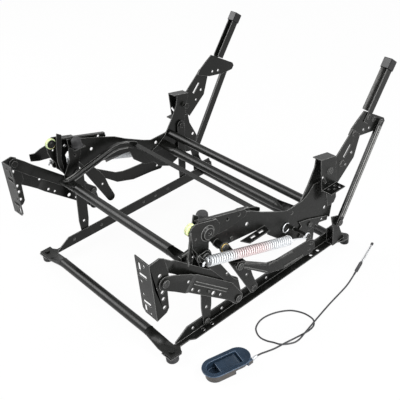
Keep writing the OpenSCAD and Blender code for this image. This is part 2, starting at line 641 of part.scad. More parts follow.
// release handle
cup_at = [375, -235.7];
cup_turn = 76.2;
cup_step = 12;
paddle_hinge = [26, floor_z + 18];
module cup_frame() translate([cup_at[0], cup_at[1], 0]) rotate(cup_turn) children();
module oval(l, w, h) {
    translate([-(l - w) / 2, -w / 2, 0]) cube([l - w, w, h]);
    for (s = [-1, 1]) translate([s * (l - w) / 2, 0, 0]) cylinder(h = h, d = w);
}
module pull_cup() color(navy) {
    end = (cup_length - cup_width) / 2;
    tub = cup_width - 14;
    cup_frame() difference() {
        union() {
            translate([0, 0, floor_z + cup_depth - 3]) oval(cup_length, cup_width, 3);
            translate([-end, 0, floor_z]) cylinder(h = cup_depth - 3, d = tub);
            translate([-end, -tub / 2, floor_z]) cube([end + cup_step, tub, cup_depth - 3]);
            translate([cup_step - 1, -tub / 2, floor_z + 9.5]) cube([end - cup_step + 1, tub,
                cup_depth - 12.5]);
            translate([end, 0, floor_z + 9.5]) cylinder(h = cup_depth - 12.5, d = tub);
        }
        translate([-end, 0, floor_z + 6]) cylinder(h = cup_depth, d = tub - 8);
        translate([-end, -tub / 2 + 4, floor_z + 6]) cube([end + cup_step - 4, tub - 8, cup_depth]);
        translate([0, -tub / 2 + 4, floor_z + 13]) cube([32, tub - 8, cup_depth]);
        translate([paddle_hinge[0], 0, paddle_hinge[1]]) rotate([90, 0, 0])
            cylinder(h = tub - 2, r = 2.5 + pivot_play, center = true);
    }
    translate([route[0][0] - 5, route[0][1] - ferrule_l - 15, lie + route[0][2] - 6]) cube([10, 15, 12]);
}

module paddle() color(navy) cup_frame() translate([paddle_hinge[0], 0, paddle_hinge[1]]) {
    rotate([90, 0, 0]) cylinder(h = cup_width - 18, r = 2.5, center = true);
    rotate([90, 0, 0]) cylinder(h = cup_width - 26, r = 3.6, center = true);
    translate([-48, -(cup_width - 26) / 2, -1]) cube([48, cup_width - 26, 4]);
    translate([-48, -(cup_width - 26) / 2, -6]) cube([4, cup_width - 26, 6]);
}

module ferrule() color(zinc) translate([route[0][0], route[0][1] - ferrule_l, lie + route[0][2]])
    rotate([-90, 0, 0]) {
    cylinder(h = ferrule_l, r = 3.4);
    cylinder(h = 4, r = 4.4);
}

module cable() color(rubber) sweep(cable_path, cable_d / 2, 8, [0, 0, 1]);

module cable_barrel() color(rubber) translate(tip) rotate(tip_turn) rotate([-90, 0, 0]) difference() {
    union() {
        translate([0, 0, 0.3]) cylinder(h = sleeve_l, r = 2.4);
        translate([0, 0, sleeve_l]) cylinder(h = barrel_l, r = 4.4);
    }
    translate([0, 0, 4]) cylinder(h = sleeve_l + barrel_l, r = 1);
}

module return_spring() color(zinc) sweep(return_path, 0.5, 6, [0, 0, 1]);

module wire_end() color(zinc) translate(tip) rotate(tip_turn) rotate([-90, 0, 0]) {
    translate([0, 0, 22]) cylinder(h = sleeve_l + barrel_l + return_l - 22, r = 0.95);
    translate([0, 0, sleeve_l + barrel_l + return_l]) cylinder(h = 7, r = 3.6);
}

rail_r();
rail_l();
front_tube();
rear_tube();
foot_r();
foot_l();
end_bracket_r();
end_bracket_l();
leg_r();
leg_l();
rear_link_r();
rear_link_l();
seat_plate_r();
seat_plate_l();
front_bracket_r();
front_bracket_l();
bumper_r();
bumper_l();
lug_r();
lug_l();
torque_tube();
flat_bar();
mid_tube();
top_tube();
seat_arms();
main_spring_r();
main_spring_l();
roller_r();
roller_l();
latch_r();
latch_l();
drive_link_r();
drive_link_l();
rear_arm_r();
rear_arm_l();
push_link_r();
push_link_l();
long_link_r();
long_link_l();
upper_link_r();
upper_link_l();
footrest_bracket_r();
footrest_bracket_l();
back_plate_r();
back_plate_l();
tri_plate_r();
tri_plate_l();
post_r();
post_l();
cap_r();
cap_l();
strut_r();
strut_l();
pull_cup();
paddle();
ferrule();
cable();
cable_barrel();
return_spring();
wire_end();
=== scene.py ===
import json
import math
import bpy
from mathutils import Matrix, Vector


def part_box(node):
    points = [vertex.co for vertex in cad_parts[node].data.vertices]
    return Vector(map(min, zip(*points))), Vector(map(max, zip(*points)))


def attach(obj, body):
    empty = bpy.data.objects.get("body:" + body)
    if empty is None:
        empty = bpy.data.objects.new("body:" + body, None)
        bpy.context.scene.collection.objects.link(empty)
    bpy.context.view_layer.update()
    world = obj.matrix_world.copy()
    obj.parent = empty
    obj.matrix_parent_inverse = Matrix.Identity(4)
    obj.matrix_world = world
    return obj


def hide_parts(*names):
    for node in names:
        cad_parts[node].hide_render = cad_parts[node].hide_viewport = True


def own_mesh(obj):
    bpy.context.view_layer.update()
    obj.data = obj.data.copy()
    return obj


bl_info = {
    "name": "Recliner mechanism",
    "version": (1, 0, 0),
    "blender": (4, 5, 0),
    "location": "View3D > Sidebar > Recliner",
    "description": "Plates, rivets, springs, rollers, release handle, cable and studio of the mechanism",
    "category": "Object",
}

from contextlib import contextmanager

import bpy
from mathutils import Matrix, Vector
from mathutils.bvhtree import BVHTree

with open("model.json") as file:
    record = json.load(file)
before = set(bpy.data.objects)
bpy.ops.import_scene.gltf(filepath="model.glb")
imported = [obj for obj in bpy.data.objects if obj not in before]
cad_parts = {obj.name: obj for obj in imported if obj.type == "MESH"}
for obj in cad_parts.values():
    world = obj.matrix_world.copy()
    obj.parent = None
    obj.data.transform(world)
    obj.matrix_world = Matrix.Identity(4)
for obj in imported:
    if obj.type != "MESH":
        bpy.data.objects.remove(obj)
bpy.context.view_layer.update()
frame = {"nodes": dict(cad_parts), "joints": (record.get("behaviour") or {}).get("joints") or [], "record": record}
record = frame["record"]
JOINTS = {joint["name"]: joint for joint in frame["joints"]}
BODY_OF = {node: body for body, nodes in record["behaviour"]["bodies"].items() for node in nodes}
SLOT_OF = {row["node"]: row["material_slot"] for row in record["subparts"]}
SIDES = {"r": 1, "l": -1}
MM = 0.001
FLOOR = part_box("foot_r")[0].z

# How near two points are merged, on turned pieces, on wires and on copies of nodes
TURNED_MERGE = 0.01 * MM
WIRE_MERGE = 0.001 * MM
NODE_MERGE = 0.002 * MM
# Edges sharper than the first are rounded, and faces within the second of one plane are joined
SHARP = math.radians(32)
FLAT = math.radians(0.4)


# Settings that a user would change


class ReclinerFinish(bpy.types.PropertyGroup):
    paint: bpy.props.FloatVectorProperty(
        name="Paint", description="Satin black coat of the steel", subtype="COLOR",
        default=(0.0036, 0.0039, 0.0034),
    )
    paint_haze: bpy.props.FloatVectorProperty(
        name="Paint haze", description="Lighter clouds in the coat", subtype="COLOR",
        default=(0.0072, 0.0076, 0.0066),
    )
    # The edge colour is a painted highlight on the rounded edges. It also sets the light grey of the painted
    # highlights on the ribs and in the post channels, and the bare colour under scuffs on paint and rivets.
    edge: bpy.props.FloatVectorProperty(
        name="Edge", description="Thin coat along the rounded edges", subtype="COLOR",
        default=(0.16, 0.16, 0.155),
    )
    zinc: bpy.props.FloatVectorProperty(
        name="Zinc", description="Bright plated wire", subtype="COLOR",
        default=(0.74, 0.76, 0.78),
    )
    blush: bpy.props.FloatVectorProperty(
        name="Blush", description="Rosy middle of the main springs", subtype="COLOR",
        default=(0.70, 0.59, 0.59),
    )
    nylon: bpy.props.FloatVectorProperty(
        name="Nylon", description="Pale rollers", subtype="COLOR",
        default=(0.80, 0.88, 0.50),
    )
    rubber: bpy.props.FloatVectorProperty(
        name="Rubber", description="Feet and bumpers", subtype="COLOR",
        default=(0.016, 0.016, 0.017),
    )
    navy: bpy.props.FloatVectorProperty(
        name="Navy", description="Release cup", subtype="COLOR",
        default=(0.017, 0.031, 0.052),
    )
    skirt: bpy.props.FloatVectorProperty(
        name="Skirt", description="Outer wall of the release cup", subtype="COLOR",
        default=(0.060, 0.054, 0.050),
    )
    bush: bpy.props.FloatVectorProperty(
        name="Bush", description="Yellow plated bush", subtype="COLOR",
        default=(0.55, 0.40, 0.14),
    )
    sheath: bpy.props.FloatVectorProperty(
        name="Sheath", description="Cable sheath and plastic caps", subtype="COLOR",
        default=(0.020, 0.020, 0.022),
    )


class ReclinerSizes(bpy.types.PropertyGroup):
    edge_round: bpy.props.FloatProperty(
        name="Edge rounding", description="Rounding of the sheet edges", unit="LENGTH", default=0.7 * MM
    )
    rivet_rise: bpy.props.FloatProperty(
        name="Rivet rise", description="Height of a rivet's dome", unit="LENGTH", default=1.6 * MM
    )
    spring_wire: bpy.props.FloatProperty(
        name="Spring wire", description="Wire diameter of the main springs", unit="LENGTH", default=4.6 * MM
    )
    cable: bpy.props.FloatProperty(
        name="Cable", description="Diameter of the cable sheath", unit="LENGTH", default=4 * MM
    )


class ReclinerStudio(bpy.types.PropertyGroup):
    floor: bpy.props.FloatVectorProperty(
        name="Floor", description="Colour of the floor", subtype="COLOR",
        default=(0.93, 0.93, 0.93),
    )
    lens: bpy.props.FloatProperty(name="Lens", description="Focal length", unit="CAMERA", default=64.67)
    sky: bpy.props.FloatProperty(name="Sky", description="Strength of the fill light", default=0.25)


# Small tools


def activate(piece):
    bpy.ops.object.select_all(action="DESELECT")
    piece.select_set(True)
    bpy.context.view_layer.objects.active = piece


@contextmanager
def edit_mode(piece):
    activate(piece)
    bpy.ops.object.mode_set(mode="EDIT")
    bpy.ops.mesh.select_mode(type="VERT")
    bpy.ops.mesh.select_all(action="SELECT")
    yield
    bpy.ops.object.mode_set(mode="OBJECT")


def new_piece(name, data):
    piece = bpy.data.objects.new(name, data)
    bpy.context.scene.collection.objects.link(piece)
    return piece


def paint_with(piece, *materials):
    piece.data.materials.clear()
    for material in materials:
        piece.data.materials.append(material)


def smooth(piece, degrees=35):
    activate(piece)
    bpy.ops.object.shade_smooth_by_angle(angle=math.radians(degrees))


def modify(piece, kind, **settings):
    activate(piece)
    bpy.ops.object.modifier_add(type=kind)
    modifier = piece.modifiers[-1]
    for name, value in settings.items():
        setattr(modifier, name, value)
    bpy.ops.object.modifier_apply(modifier=modifier.name)


def round_edges(piece, width, segments=2, material=-1):
    modify(
        piece, "BEVEL", width=width, segments=segments, limit_method="ANGLE", angle_limit=SHARP,
        use_clamp_overlap=False, harden_normals=True, material=material,
    )


def joined(name, pieces):
    activate(pieces[0])
    for piece in pieces:
        piece.select_set(True)
    if len(pieces) > 1:
        bpy.ops.object.join()
    pieces[0].name = name
    pieces[0].data.name = name
    return pieces[0]


def hand_in(piece, body, slot, *nodes):
    """The piece rides on a body and stands for the named nodes, which are hidden. The slot is not used."""
    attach(piece, body)
    if nodes:
        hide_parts(*nodes)
    return piece


def stand_in(piece, node):
    """The piece takes a node's place, on the node's own body."""
    return hand_in(piece, BODY_OF[node], SLOT_OF[node], node)


def in_mm(profile):
    """Outline of (radius, height) points, from millimetres."""
    return [(r * MM, h * MM) for r, h in profile]


def side_view(y, z):
    """Place in the side view, from millimetres."""
    return Vector((0, y * MM, z * MM))


def middle_below(node):
    """Middle of the underside of a node's box."""
    low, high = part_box(node)
    return Vector(((low.x + high.x) / 2, (low.y + high.y) / 2, low.z))


def frame_on(centre, axis):
    """Place whose Z runs along the axis from the centre."""
    return Matrix.Translation(centre) @ Vector(axis).to_track_quat("Z", "X").to_matrix().to_4x4()


def turned(name, profile, centre, axis, material, steps=48):
    """Solid of revolution of (radius, height) points about an axis."""
    mesh = bpy.data.meshes.new(name)
    last = len(profile) - 1
    mesh.from_pydata([(r, 0, h) for r, h in profile], [(i, i + 1) for i in range(last)], [])
    piece = new_piece(name, mesh)
    with edit_mode(piece):
        bpy.ops.mesh.spin(steps=steps, angle=math.tau, center=(0, 0, 0), axis=(0, 0, 1))
        bpy.ops.mesh.select_all(action="SELECT")
        bpy.ops.mesh.remove_doubles(threshold=TURNED_MERGE)
        bpy.ops.mesh.normals_make_consistent(inside=False)
    mesh.transform(frame_on(centre, axis))
    paint_with(piece, material)
    smooth(piece)
    return piece


def line_of(name, points, radius, resolution=5):
    """Round wire along points, left as a curve."""
    curve = bpy.data.curves.new(name, "CURVE")
    curve.dimensions = "3D"
    curve.bevel_depth = radius
    curve.bevel_resolution = resolution
    curve.use_fill_caps = True
    spline = curve.splines.new("POLY")
    spline.points.add(len(points) - 1)
    for point, place in zip(spline.points, points):
        point.co = (*place, 1)
    spline.use_smooth = True
    return new_piece(name, curve)


def wire(name, points, radius, material, resolution=4):
    """Round wire along points, as a mesh."""
    piece = line_of(name, points, radius, resolution)
    activate(piece)
    bpy.ops.object.convert(target="MESH")
    piece = bpy.context.object
    with edit_mode(piece):
        bpy.ops.mesh.remove_doubles(threshold=WIRE_MERGE)
        bpy.ops.mesh.normals_make_consistent(inside=False)
    paint_with(piece, material)
    smooth(piece, degrees=50)
    return piece


def pivot(joint):
    return Vector(JOINTS[joint]["pos_m"])


def on_face(node, place, side, outward=True):
    """The place, moved along X to where a line from outside, or from the middle, first meets a node."""
    mesh = frame["nodes"][node].data
    shape = BVHTree.FromPolygons([v.co for v in mesh.vertices], [face.vertices for face in mesh.polygons])
    start = Vector((side if outward else 0, place.y, place.z))
    way = Vector((-side if outward else side, 0, 0))
    return Vector((shape.ray_cast(start, way)[0].x, place.y, place.z))


# Shader groups that several finishes share


def new_group(name, inputs, outputs):
    group = bpy.data.node_groups.new(name, "ShaderNodeTree")
    for socket, kind in inputs.items():
        group.interface.new_socket(socket, in_out="INPUT", socket_type=kind)
    for socket, kind in outputs.items():
        group.interface.new_socket(socket, in_out="OUTPUT", socket_type=kind)
    return group, group.nodes.new("NodeGroupInput"), group.nodes.new("NodeGroupOutput")


def object_noise(tree, scale, detail, roughness):
    """Noise on Object coordinates."""
    place = tree.nodes.new("ShaderNodeTexCoord")
    noise = tree.nodes.new("ShaderNodeTexNoise")
    noise.inputs["Scale"].default_value = scale
    noise.inputs["Detail"].default_value = detail
    noise.inputs["Roughness"].default_value = roughness
    tree.links.new(place.outputs["Object"], noise.inputs["Vector"])
    return noise


def spread(tree, source, low, high):
    """Stretches what lies between two values to run from 0 to 1."""
    node = tree.nodes.new("ShaderNodeMapRange")
    node.inputs["From Min"].default_value = low
    node.inputs["From Max"].default_value = high
    tree.links.new(source, node.inputs["Value"])
    return node


def colour_mix(tree, factor, under):
    """Mix of a colour with a second one, which is set on B."""
    mix = tree.nodes.new("ShaderNodeMix")
    mix.data_type = "RGBA"
    tree.links.new(factor, mix.inputs["Factor"])
    tree.links.new(under, mix.inputs["A"])
    return mix


def cloud_group():
    """Slow clouds between two colours."""
    group, ins, outs = new_group(
        "Coat clouds",
        {"Dark": "NodeSocketColor", "Light": "NodeSocketColor", "Scale": "NodeSocketFloat"},
        {"Color": "NodeSocketColor"},
    )
    noise = object_noise(group, scale=20, detail=5, roughness=0.6)
    mask = spread(group, noise.outputs["Fac"], low=0.36, high=0.66)
    mix = colour_mix(group, mask.outputs["Result"], ins.outputs["Dark"])
    group.links.new(ins.outputs["Scale"], noise.inputs["Scale"])
    group.links.new(ins.outputs["Light"], mix.inputs["B"])
    group.links.new(mix.outputs["Result"], outs.inputs["Color"])
    return group


def grain_group():
    """Fine grain for roughness and height."""
    group, ins, outs = new_group(
        "Surface grain",
        {"Scale": "NodeSocketFloat", "Smooth": "NodeSocketFloat", "Rough": "NodeSocketFloat"},
        {"Roughness": "NodeSocketFloat", "Height": "NodeSocketFloat"},
    )
    fine = object_noise(group, scale=400, detail=3, roughness=0.55)
    slow = object_noise(group, scale=18, detail=4, roughness=0.6)
    both = group.nodes.new("ShaderNodeMath")
    both.operation = "ADD"
    reach = spread(group, both.outputs["Value"], low=0.75, high=1.25)
    group.links.new(ins.outputs["Scale"], fine.inputs["Scale"])
    group.links.new(fine.outputs["Fac"], both.inputs[0])
    group.links.new(slow.outputs["Fac"], both.inputs[1])
    group.links.new(ins.outputs["Smooth"], reach.inputs["To Min"])
    group.links.new(ins.outputs["Rough"], reach.inputs["To Max"])
    group.links.new(reach.outputs["Result"], outs.inputs["Roughness"])
    group.links.new(fine.outputs["Fac"], outs.inputs["Height"])
    return group


def scuff_group():
    """Sparse scuffs that show what lies under a coat."""
    group, ins, outs = new_group(
        "Handling scuffs",
        {
            "Color": "NodeSocketColor", "Bare": "NodeSocketColor", "Scale": "NodeSocketFloat",
            "Amount": "NodeSocketFloat",
        },
        {"Color": "NodeSocketColor"},
    )
    noise = object_noise(group, scale=90, detail=6, roughness=0.7)
    mask = spread(group, noise.outputs["Fac"], low=0.60, high=0.72)
    share = group.nodes.new("ShaderNodeMath")
    share.operation = "MULTIPLY"
    mix = colour_mix(group, share.outputs["Value"], ins.outputs["Color"])
    group.links.new(ins.outputs["Scale"], noise.inputs["Scale"])
    group.links.new(mask.outputs["Result"], share.inputs[0])
    group.links.new(ins.outputs["Amount"], share.inputs[1])
    group.links.new(ins.outputs["Bare"], mix.inputs["B"])
    group.links.new(mix.outputs["Result"], outs.inputs["Color"])
    return group


GROUPS = {"clouds": cloud_group, "grain": grain_group, "scuffs": scuff_group}
made_groups = {}


def placed_group(tree, name, **values):
    if name not in made_groups:
        made_groups[name] = GROUPS[name]()
    node = tree.nodes.new("ShaderNodeGroup")
    node.node_tree = made_groups[name]
    for socket, value in values.items():
        node.inputs[socket].default_value = (*value, 1) if hasattr(value, "__len__") else value
    return node


# Finishes


BUMP_DEPTH = 0.2 * MM
BARE_STEEL = (0.32, 0.32, 0.31)
DULL_ZINC = (0.55, 0.54, 0.52)
GREY_ZINC = (0.5, 0.5, 0.5)
# Rosy stretch of the main springs: share of the way from front to rear, and how rosy
BLUSH_STOPS = ((0.20, 0), (0.29, 1), (0.50, 1), (0.62, 0))


def finish(name, dark, light, clouds, rough, grain, bump, scuff=None, **plain):
    """Principled finish with clouded colour, grainy roughness and a fine bump."""
    material = bpy.data.materials.new(name)
    material.use_nodes = True
    tree = material.node_tree
    shader = tree.nodes["Principled BSDF"]
    for socket, value in plain.items():
        shader.inputs[socket.replace("_", " ")].default_value = value
    clouded = placed_group(tree, "clouds", Dark=dark, Light=light, Scale=clouds)
    grained = placed_group(tree, "grain", Scale=grain, Smooth=rough[0], Rough=rough[1])
    height = tree.nodes.new("ShaderNodeBump")
    height.inputs["Strength"].default_value = bump
    height.inputs["Distance"].default_value = BUMP_DEPTH
    colour = clouded.outputs["Color"]
    if scuff:
        worn = placed_group(tree, "scuffs", **scuff)
        tree.links.new(colour, worn.inputs["Color"])
        colour = worn.outputs["Color"]
    tree.links.new(colour, shader.inputs["Base Color"])
    tree.links.new(grained.outputs["Roughness"], shader.inputs["Roughness"])
    tree.links.new(grained.outputs["Height"], height.inputs["Height"])
    tree.links.new(height.outputs["Normal"], shader.inputs["Normal"])
    return material


def scaled(colour, factor):
    return tuple(min(1.0, c * factor) for c in colour)


def black_paint(look):
    return finish(
        "Black paint", look.paint, look.paint_haze, clouds=9, rough=(0.22, 0.38), grain=700, bump=0.02,
        scuff=dict(Bare=scaled(look.edge, 0.3), Scale=70, Amount=0.25), Specular_IOR_Level=0.26,
    )


def rivet_enamel(look):
    return finish(
        "Rivet enamel", scaled(look.paint, 2), scaled(look.paint_haze, 2.4),
        clouds=40, rough=(0.14, 0.26), grain=900, bump=0.02,
        scuff=dict(Bare=look.edge, Scale=160, Amount=0.3), Specular_IOR_Level=0.6,
    )


# Light grey coat for painted highlights and a painted reflection: on the inside of the post channels and on the
# ribs of the arms and struts. Its scuffs are wear.
def highlight_paint(look):
    return finish(
        "Painted highlight", scaled(look.edge, 1.1), scaled(look.edge, 1.7),
        clouds=50, rough=(0.20, 0.34), grain=700, bump=0.03,
        scuff=dict(Bare=scaled(look.edge, 0.3), Scale=90, Amount=0.4), Specular_IOR_Level=0.5,
    )


# Lighter grey on the rounded edges: a painted highlight, with scuffs of bare steel as real wear.
def edge_highlight_and_wear(look):
    return finish(
        "Edge highlight and wear", scaled(look.edge, 0.6), look.edge, clouds=60, rough=(0.20, 0.36), grain=700, bump=0.08,
        scuff=dict(Bare=BARE_STEEL, Scale=120, Amount=0.6), Coat_Weight=0.2, Coat_Roughness=0.2,
    )


def zinc_plate(look):
    return finish(
        "Zinc plate", scaled(look.zinc, 0.82), look.zinc,
        clouds=160, rough=(0.20, 0.38), grain=1500, bump=0.12,
        scuff=dict(Bare=DULL_ZINC, Scale=220, Amount=0.5), Metallic=1.0,
    )


def pale_nylon(look):
    return finish(
        "Pale nylon", scaled(look.nylon, 0.88), look.nylon,
        clouds=110, rough=(0.36, 0.5), grain=900, bump=0.06,
        Subsurface_Weight=0.15, Subsurface_Scale=2 * MM,
    )


def black_rubber(look):
    return finish(
        "Black rubber", look.rubber, scaled(look.rubber, 2.2),
        clouds=70, rough=(0.55, 0.75), grain=900, bump=0.25,
    )


def black_plastic(look):
    return finish(
        "Black plastic", look.sheath, scaled(look.sheath, 1.6),
        clouds=60, rough=(0.34, 0.5), grain=1100, bump=0.12,
    )


def navy_plastic(look):
    return finish(
        "Navy plastic", scaled(look.navy, 0.85), scaled(look.navy, 1.25),
        clouds=30, rough=(0.30, 0.46), grain=1200, bump=0.14, Specular_IOR_Level=0.3,
    )


# Lighter navy on the rounded edges of the cup and paddle: a painted highlight.
def navy_edge_highlight(look):
    return finish(
        "Navy edge highlight", scaled(look.navy, 2.2), scaled(look.navy, 3.2),
        clouds=60, rough=(0.28, 0.4), grain=1200, bump=0.1,
    )


def cup_skirt(look):
    return finish(
        "Cup skirt", scaled(look.skirt, 0.85), scaled(look.skirt, 1.2),
        clouds=50, rough=(0.4, 0.56), grain=1200, bump=0.14,
    )


def cap_plastic(look):
    return finish(
        "Cap plastic", scaled(look.sheath, 0.3), scaled(look.sheath, 0.55),
        clouds=40, rough=(0.16, 0.30), grain=900, bump=0.02, Specular_IOR_Level=0.3,
    )


def yellow_zinc(look):
    return finish(
        "Yellow zinc", scaled(look.bush, 0.8), look.bush,
        clouds=120, rough=(0.24, 0.40), grain=1200, bump=0.1,
        Metallic=0.8,
    )


def spring_zinc(look):
    """Plated wire whose middle stretch is rosy."""
    material = finish(
        "Spring zinc", scaled(look.zinc, 0.86), look.zinc,
        clouds=200, rough=(0.22, 0.36), grain=1500, bump=0.1,
        scuff=dict(Bare=GREY_ZINC, Scale=260, Amount=0.4), Metallic=0.35,
    )
    tree = material.node_tree
    shader = tree.nodes["Principled BSDF"]
    plain = shader.inputs["Base Color"].links[0].from_socket
    place = tree.nodes.new("ShaderNodeTexCoord")
    split = tree.nodes.new("ShaderNodeSeparateXYZ")
    ramp = tree.nodes.new("ShaderNodeValToRGB")
    front, rear = (corner.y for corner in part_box("main_spring_r"))
    along = spread(tree, split.outputs["Y"], front, rear)
    while len(ramp.color_ramp.elements) < len(BLUSH_STOPS):
        ramp.color_ramp.elements.new(0.5)
    for element, (position, value) in zip(ramp.color_ramp.elements, BLUSH_STOPS):
        element.position = position
        element.color = (value, value, value, 1)
    mix = colour_mix(tree, ramp.outputs["Color"], plain)
    mix.inputs["B"].default_value = (*look.blush, 1)
    tree.links.new(place.outputs["Object"], split.inputs["Vector"])
    tree.links.new(along.outputs["Result"], ramp.inputs["Fac"])
    tree.links.new(mix.outputs["Result"], shader.inputs["Base Color"])
    return material


FINISHES = {
    "paint": black_paint,
    "edge": edge_highlight_and_wear,
    "rivet": rivet_enamel,
    "painted_highlight": highlight_paint,
    "zinc": zinc_plate,
    "spring": spring_zinc,
    "nylon": pale_nylon,
    "rubber": black_rubber,
    "plastic": black_plastic,
    "navy": navy_plastic,
    "navy_edge_highlight": navy_edge_highlight,
    "skirt": cup_skirt,
    "cap": cap_plastic,
    "bush": yellow_zinc,
}
made_finishes = {}


def finish_of(name):
    if name not in made_finishes:
        made_finishes[name] = FINISHES[name](bpy.context.scene.recliner_finish)
    return made_finishes[name]


# Camera and cable


CAMERA_AT = (1.2221, -0.9389, 1.1825)
CAMERA_AZIMUTH = math.radians(51.492)
CAMERA_ELEVATION = math.radians(34.026)
CAMERA_ROLL = math.radians(-5.537)
SENSOR_WIDTH = 36


class RECLINER_OT_camera(bpy.types.Operator):
    """Sets the camera at the photographed angle"""

    bl_idname = "recliner.camera"
    bl_label = "Camera"

    def execute(self, context):
        bpy.ops.object.camera_add()
        camera = context.object
        camera.data.lens = context.scene.recliner_studio.lens
        camera.data.sensor_width = SENSOR_WIDTH
        azimuth, elevation = CAMERA_AZIMUTH, CAMERA_ELEVATION
        back = Vector((
            math.sin(azimuth) * math.cos(elevation),
            -math.cos(azimuth) * math.cos(elevation),
            math.sin(elevation),
        ))
        right = Vector((math.cos(azimuth), math.sin(azimuth), 0))
        up = back.cross(right)
        level = Matrix((right, up, back)).transposed()
        roll = Matrix.Rotation(CAMERA_ROLL, 3, "Z")
        camera.matrix_world = Matrix.Translation(CAMERA_AT) @ (level @ roll).to_4x4()
        context.scene.camera = camera
        return {"FINISHED"}


# Sheath route from the ferrule, round its loop, to the adjuster: x, y and height above the floor line
CABLE_ROUTE = (
    (402.5, -169, 12), (403.5, -156, 10), (406, -140, 6.5), (409, -118, 2), (412, -93, 0), (417, -69, 0),
    (422.5, -41, 0), (425, -22, 0), (424, -8, 0), (419, 3, 0), (406, 13, 0), (382, 13.5, 0), (361, 6, 0),
    (346, -5, 0), (331, -27, 0), (322, -52, 0), (321, -76, 0), (330, -99, 0), (345, -111, 0),
    (362, -116, 0.5), (381, -114, 2.5), (397, -109, 5.2), (411, -104, 6), (421.5, -91, 4.6), (429, -74, 3),
    (430, -58, 3.2), (427.5, -42, 4.6), (423.5, -20, 5.2), (419, 2, 5.2), (411, 33, 1.5), (404, 66, 0),
    (398.5, 100, 0), (390, 158, 1), (378, 202, 2.6),
)
CABLE_STEPS = 6
# Turned fittings on the cable: radius and height, in millimetres
FERRULE = (
    (0, 0), (4.4, 0), (4.4, 3.6), (4.0, 4.2), (3.4, 4.4), (3.4, 6.2), (3.0, 6.6), (3.0, 7.2), (3.4, 7.6),
    (3.4, 10), (3.0, 10.4), (3.0, 11), (3.4, 11.4), (3.4, 15),
)
FERRULE_MOUTH = 2.9
ADJUSTER = (
    (0, 0.3), (2.3, 0.3), (2.4, 1), (2.4, 13), (3.2, 14), (3.4, 15), (4.4, 15.6), (4.4, 20), (3.9, 20.6),
    (3.9, 21.6), (4.4, 22.2), (4.4, 27), (3.9, 27.6), (3.9, 28.6), (4.4, 29.2), (4.4, 47), (4.1, 50),
    (3.4, 53), (2.6, 55), (1.0, 55), (1.0, 50), (0, 50),
)
# Nipple on the inner wire: radius and distance before the wire's end, in millimetres
NIPPLE = ((0.95, 9), (2.2, 8), (3.4, 6.6), (3.6, 6), (3.6, 1), (3.1, 0.2), (2.4, 0), (0, 0))
INNER_WIRE = 0.95
RETURN_CURLS = 12
RETURN_CURL_POINTS = 24
RETURN_RADII = (3.3 * MM, 2.4 * MM)
RETURN_WIRE = 1.0 * MM


def glide(a, b, c, d, s):
    """Point on the smooth curve from b to c."""
    return 0.5 * (
        2 * b + (c - a) * s + (2 * a - 5 * b + 4 * c - d) * s * s + (3 * b - a - 3 * c + d) * s * s * s
    )


def cable_points(diameter):
    low = FLOOR + diameter / 2
    route = [Vector(point) * MM for point in CABLE_ROUTE]
    last = len(route) - 1
    points = []
    for k in range(last * CABLE_STEPS + 1):
        i = min(k // CABLE_STEPS, last - 1)
        q = glide(route[max(i - 1, 0)], route[i], route[i + 1], route[min(i + 2, last)], k / CABLE_STEPS - i)
        points.append(Vector((q.x, q.y, low + max(q.z, 0))))
    return points


class RECLINER_OT_cable(bpy.types.Operator):
    """Lays the release cable on the floor"""

    bl_idname = "recliner.cable"
    bl_label = "Cable"

    def execute(self, context):
        diameter = context.scene.recliner_sizes.cable
        points = cable_points(diameter)
        sheath = line_of("cable_sheath", points, diameter / 2, resolution=6)
        paint_with(sheath, finish_of("plastic"))
        stand_in(sheath, "cable")
        cable_fittings(points)
        return_spring()
        wire_end()
        return {"FINISHED"}


def cable_fittings(points):
    """Ferrule and adjuster that sit on the sheath's ends."""
    return [ferrule(points[0]), adjuster(points[-1])]


def ferrule(start):
    low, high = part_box("ferrule")
    length = (high.y - low.y) / MM
    back = Vector((start.x, low.y, start.z))
    profile = [*FERRULE, (FERRULE_MOUTH, length), (0, length)]
    return stand_in(turned("cable_ferrule", in_mm(profile), back, (0, 1, 0), finish_of("zinc")), "ferrule")


def tip_direction():
    """Way in which the cable's far end points."""
    return -Vector(JOINTS["wire_pull"]["axis"]).normalized()


def adjuster(start):
    piece = turned("cable_adjuster", in_mm(ADJUSTER), start, tip_direction(), finish_of("plastic"))
    return stand_in(piece, "cable_barrel")


def along_tip(node):
    """Adjuster's start, and how near and far from it a node reaches along the cable's far end."""
    tip = cable_points(bpy.context.scene.recliner_sizes.cable)[-1]
    reach = [(v.co - tip).dot(tip_direction()) for v in frame["nodes"][node].data.vertices]
    return tip, min(reach), max(reach)


def return_spring():
    tip, near, far = along_tip("return_spring")
    way = tip_direction()
    side = Vector((way.y, -way.x, 0))
    turns = RETURN_CURLS * RETURN_CURL_POINTS
    points = []
    for i in range(turns + 1):
        share = i / turns
        radius = RETURN_RADII[0] + (RETURN_RADII[1] - RETURN_RADII[0]) * share
        angle = math.tau * RETURN_CURLS * share
        step = near + RETURN_WIRE / 2 + (far - near - RETURN_WIRE) * share
        points.append(tip + way * step + radius * (math.cos(angle) * side + Vector((0, 0, math.sin(angle)))))
    piece = wire("return_coil", points, RETURN_WIRE / 2, finish_of("zinc"), resolution=2)
    stand_in(piece, "return_spring")
    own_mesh(piece)


def wire_end():
    tip, near, far = along_tip("wire_end")
    begin, end = near / MM, far / MM
    profile = [(0, begin), (INNER_WIRE, begin), *((r, end - before) for r, before in NIPPLE)]
    piece = turned("cable_nipple", in_mm(profile), tip, tip_direction(), finish_of("plastic"), steps=32)
    stand_in(piece, "wire_end")


# Sheet metal and tubes


PLATES = (
    "rail", "end_bracket", "leg", "rear_link", "seat_plate", "front_bracket", "lug", "latch", "drive_link",
    "rear_arm", "push_link", "long_link", "upper_link", "footrest_bracket", "back_plate", "tri_plate", "post",
    "strut",
)
ARMS = "seat_arms"
TUBES = ("front_tube", "rear_tube", "torque_tube", "flat_bar", "mid_tube", "top_tube")
EDGE_SEGMENTS = 2
# A face counts as wide from this share of the widest one
WIDE_SHARE = 0.3


